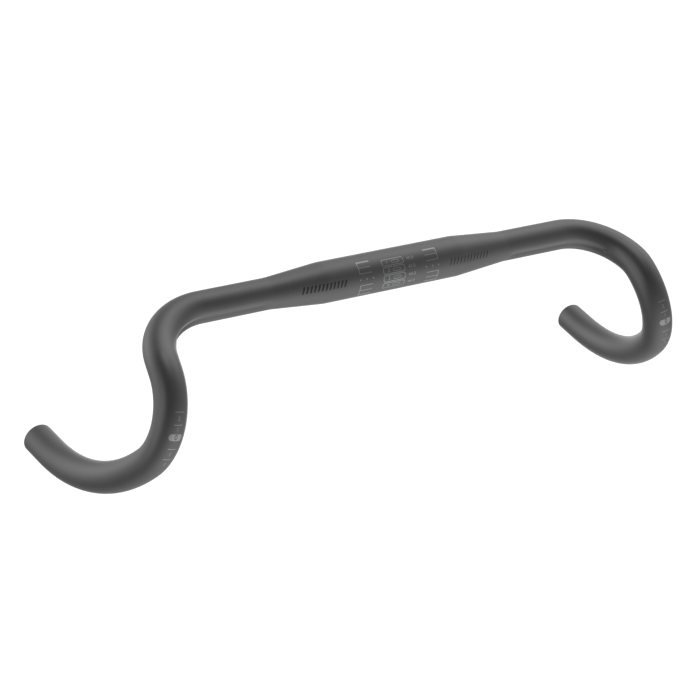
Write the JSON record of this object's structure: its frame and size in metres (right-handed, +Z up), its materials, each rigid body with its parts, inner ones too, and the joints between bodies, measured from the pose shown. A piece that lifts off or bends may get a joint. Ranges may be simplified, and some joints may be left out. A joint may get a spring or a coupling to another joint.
{
  "type": "drop handlebar",
  "caption": "Bare bicycle drop handlebar: one bent, butted tube with a wide stem clamp zone, short ramps, round hooks that flare outwards, open ends and printed alignment scales.",
  "frame": {"origin": "centre of the stem clamp zone, on the tube's axis", "axes": "+X along the tops to the rider's left, +Y back towards the rider, the way the level drop ends point, +Z up"},
  "size_m": [0.5302, 0.1548, 0.1603],
  "materials": {
    "bar_finish": "matte",
    "pale_print": "matte",
    "dark_print": "satin"
  },
  "bodies": {
    "root": {"bar_tube": "bar_finish", "print_box_1": "pale_print", "print_box_2": "pale_print", "print_box_3": "pale_print", "print_box_4": "pale_print", "left_gauge_upper": "pale_print", "left_gauge_lower": "pale_print", "left_gauge_dot_1": "pale_print", "left_gauge_dot_2": "pale_print", "left_gauge_dot_3": "pale_print", "left_badge": "dark_print", "left_lever_zero": "pale_print", "left_lever_tick_1": "pale_print", "left_lever_tick_2": "pale_print", "left_lever_tick_3": "pale_print", "left_lever_tick_4": "pale_print", "right_gauge_upper": "pale_print", "right_gauge_lower": "pale_print", "right_gauge_dot_1": "pale_print", "right_gauge_dot_2": "pale_print", "right_gauge_dot_3": "pale_print", "right_badge": "dark_print", "right_lever_zero": "pale_print", "right_lever_tick_1": "pale_print", "right_lever_tick_2": "pale_print", "right_lever_tick_3": "pale_print", "right_lever_tick_4": "pale_print"}
  },
  "joints": []
}
